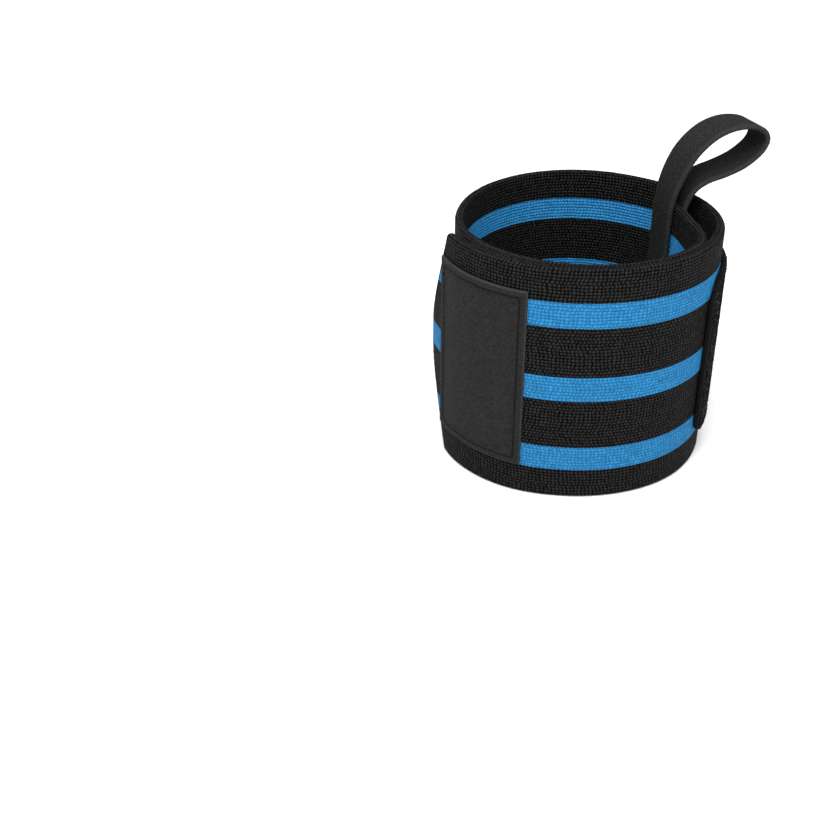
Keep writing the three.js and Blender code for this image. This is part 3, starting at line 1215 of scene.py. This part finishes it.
leg_box = box_lines(*LEG_BOX_LOW, *LEG_BOX_HIGH) + [(LEG_BOX_LOW, LEG_BOX_HIGH)]
other_box = [tuple((strap_length - x, z) for x, z in line) for line in leg_box]
strap_seam = sew("strap_seam", leg_box + other_box, strap_half, strap_guide)
stand_up(strap_seam)
finish_piece(strap_seam, thread_black)

nose_low = (BAND_WIDTH - NOSE_WIDTH) / 2
slant = [(x, (x - shoulder) / (nose - shoulder) * nose_low) for x in POINT_SEAM_ENDS]
low_line = tuple((x, POINT_SEAM_INSET + z) for x, z in slant)
high_line = tuple((x, BAND_WIDTH - z) for x, z in low_line)
point_seam = sew("point_seam", [low_line, high_line], BAND_OUT, band_guide)
finish_piece(point_seam, thread_black)

# %% [markdown]
# The pile patch
#
# The soft half of the fastener is a knitted backing covered with fine loops. The
# backing is a thin block, and its two upper corners are rounder than the lower ones.
# The loops are short bent threads strewn over it, each turned and leaning its own way,
# from one seeded random series.

# %% Pile backing
PILE_BASE = 1.5
pile_from = way_at(PILE_START_TURN)
pile_to = way_at(PILE_START_TURN + math.degrees(PILE_LENGTH / (ROLL_RADIUS + PILE_LOW)))
pile_middle = patch_middle - PILE_DROP
pile_low = pile_middle - PILE_HEIGHT / 2
pile_high = pile_middle + PILE_HEIGHT / 2
pile = new_block(
    "pile_backing", (pile_from, PILE_LOW, pile_low), (pile_to, PILE_LOW + PILE_BASE, pile_high)
)
round_outline(pile, PILE_TOP_CORNER, low=pile_middle)
round_outline(pile, CORNER_RADIUS, high=pile_middle)
soften_edges(pile, 0.3, segments=2)
cut_columns(pile, step=2)
keep_flat_place(pile)
wind(pile, band_guide)

pile_cloth = fine_cloth("pile cloth", (0.0045, 0.0045, 0.0048, 1), 0.5, 0.1, 0.5)
finish_piece(pile, pile_cloth, "pile_patch", angle=50)

# %% Pile loops
LOOP_COUNT = 7500
PILE_SEED = 7
BEND_STEPS = 4
THREAD_RADIUS = 0.08
HALF_LOOP = 0.45
LOOP_ROOT = 0.15
LOWEST_REACH = 0.8
MOST_LEAN = 0.7
BARE_MARGIN = 0.5
random.seed(PILE_SEED)


def pile_loop(points, faces, x, z, reach, turn, lean):
    """One bent thread: a three-sided tube on half an ellipse."""
    start = len(points)
    root = Vector((x, PILE_LOW + PILE_BASE - LOOP_ROOT, z))
    along = Vector((math.cos(turn), 0, math.sin(turn)))
    side = Vector((-math.sin(turn), 0, math.cos(turn)))
    for step in range(BEND_STEPS + 1):
        angle = math.pi * step / BEND_STEPS
        rise = math.sin(angle) * (PILE_THICKNESS - PILE_BASE) * reach
        centre = root + along * (-math.cos(angle) * HALF_LOOP * reach)
        centre += Vector((0, rise, 0)) + side * (rise * lean)
        normal = (along * -math.cos(angle) + Vector((0, math.sin(angle), 0))).normalized()
        for corner in range(3):
            spin = 2 * math.pi * corner / 3
            offset = normal * math.cos(spin) + side * math.sin(spin)
            points.append((centre + offset * THREAD_RADIUS) * MM)
    for step in range(BEND_STEPS):
        for corner in range(3):
            a = start + step * 3 + corner
            b = start + step * 3 + (corner + 1) % 3
            faces.append((a, a + 3, b + 3, b))


def in_patch(x, z, margin):
    """Whether a place lies on the patch, with its round corners left out."""
    radius = PILE_TOP_CORNER if z > pile_middle else CORNER_RADIUS
    dx = max(pile_from + radius - x, x - pile_to + radius, 0)
    dz = max(pile_low + radius - z, z - pile_high + radius, 0)
    return math.hypot(dx, dz) < radius - margin


loop_points, loop_faces = [], []
made = 0
while made < LOOP_COUNT:
    x = random.uniform(pile_from, pile_to)
    z = random.uniform(pile_low, pile_high)
    if not in_patch(x, z, BARE_MARGIN):
        continue
    reach = random.uniform(LOWEST_REACH, 1.0)
    turn = random.uniform(0, 2 * math.pi)
    lean = random.uniform(-MOST_LEAN, MOST_LEAN)
    pile_loop(loop_points, loop_faces, x, z, reach, turn, lean)
    made += 1
loop_mesh = bpy.data.meshes.new("pile_loops")
loop_mesh.from_pydata(loop_points, [], loop_faces)
pile_loops = bpy.data.objects.new("pile_loops", loop_mesh)
bpy.context.scene.collection.objects.link(pile_loops)
keep_flat_place(pile_loops)
wind(pile_loops, band_guide)
finish_piece(pile_loops, pile_cloth, angle=80)

# %% [markdown]
# The patch is sewn down by one line of stitches that follows its border, so the line
# is a box whose two upper corners are cut off by short slanting runs.

# %% Seam round the pile
PILE_SEAM_INSET = 2
left, right = pile_from + PILE_SEAM_INSET, pile_to - PILE_SEAM_INSET
low, high = pile_low + PILE_SEAM_INSET, pile_high - PILE_SEAM_INSET
corner = PILE_TOP_CORNER - PILE_SEAM_INSET
bow = corner * (1 - math.sqrt(0.5))
round_box = [
    (left, low), (right, low), (right, high - corner), (right - bow, high - bow),
    (right - corner, high), (left + corner, high), (left + bow, high - bow),
    (left, high - corner), (left, low),
]
pile_seam_out = PILE_HIGH - LOOP_ROOT
pile_seam = sew("pile_seam", list(zip(round_box, round_box[1:])), pile_seam_out, band_guide)
finish_piece(pile_seam, thread_black)

# %% [markdown]
# The closing tab
#
# A plain stiff webbing tab is sewn under the band's pointed end and presses its hooks
# onto the pile behind the roll. The band's nose lies over it with the end of the middle
# stripe. The tab's yarn is finer than the band's, so it takes the same weave group with
# smaller floats.

# %% The tab's webbing
# The tab's hole colour is painted shade in the pits between its floats.
TAB_YARN = (0.0105, 0.0105, 0.0108, 1)
TAB_PIT_SHADE = (0.0015, 0.0015, 0.0015, 1)
TAB_LINT = (0.004, 0.004, 0.004, 1)


def tab_material():
    material, tree, shader = new_material("tab webbing")
    place, along, out, across = flat_place(tree)
    weave = place_group(
        tree, coarse_weave, Place=place, Along=along, Across=across,
        Float_Length=0.0008, Row_Height=0.0007,
    )
    lint = noise(tree, place, scale=2400, detail=3, roughness=0.65)
    # Painted shade darkens the pits between the tab's floats.
    fade = times(tree, weave.outputs["Pit Shade"], 0.7)
    colour = mix_colour(tree, fade, TAB_YARN, TAB_PIT_SHADE)
    colour = mix_colour(tree, times(tree, lint, 0.3), colour, TAB_LINT)
    wire(tree, shader.inputs["Base Color"], colour)
    wire(tree, shader.inputs["Normal"], bump(tree, weave.outputs["Height"], 0.0002, 0.5))
    set_gloss(shader, 0.75, 0.06)
    return material


# %% The tab, and its seam
GUIDE_SPARE = 0.5
TAB_SEAM_FROM = 48
TAB_SEAM_INSET = 2.4
tab_low = (BAND_WIDTH - TAB_WIDTH) / 2
tab_length = distances(tab_points)[-1] - GUIDE_SPARE
tab = new_block("closing_tab", (0, 0, tab_low), (tab_length, TAB_THICKNESS, tab_low + TAB_WIDTH))
round_outline(tab, CORNER_RADIUS, at_start=False)
soften_edges(tab, 0.8, segments=3)
cut_columns(tab, step=1)
keep_flat_place(tab)
wind(tab, tab_guide)
finish_piece(tab, tab_material(), "hook_tab", angle=50)
print("tab", round(tab_length, 1), "mm along its inner face")

tab_seam = sew(
    "tab_seam",
    box_lines(
        TAB_SEAM_FROM, tab_low + TAB_SEAM_INSET,
        tab_length - TAB_SEAM_INSET, tab_low + TAB_WIDTH - TAB_SEAM_INSET,
    ),
    TAB_THICKNESS, tab_guide,
)
finish_piece(tab_seam, thread_black)

# %% [markdown]
# The hooks
#
# The hook strip lies between tab and pile, so the solid model's own strip stays. It
# gets a dull nylon with rows of tiny hooks as relief.

# %% Hook strip
hook_nylon, tree, shader = new_material("hook nylon")
coordinates = tree.nodes.new("ShaderNodeTexCoord")
dots = tree.nodes.new("ShaderNodeTexVoronoi")
tree.links.new(coordinates.outputs["Object"], dots.inputs["Vector"])
dots.inputs["Scale"].default_value = 900
wire(tree, shader.inputs["Base Color"], mix_colour(
    tree, dots.outputs["Distance"], (0.02, 0.02, 0.022, 1), (0.004, 0.004, 0.004, 1)
))
wire(tree, shader.inputs["Normal"], bump(tree, dots.outputs["Distance"], 0.0003, 0.7))
shader.inputs["Roughness"].default_value = 0.55
hook_strip = bpy.data.objects["hook_strip"]
hook_strip.data.materials.clear()
hook_strip.data.materials.append(hook_nylon)

# %% [markdown]
# Putting away
#
# The guides have done their work, so they are removed.

# %% Finish
for guide in (band_guide, tab_guide, strap_guide):
    bpy.data.objects.remove(guide)
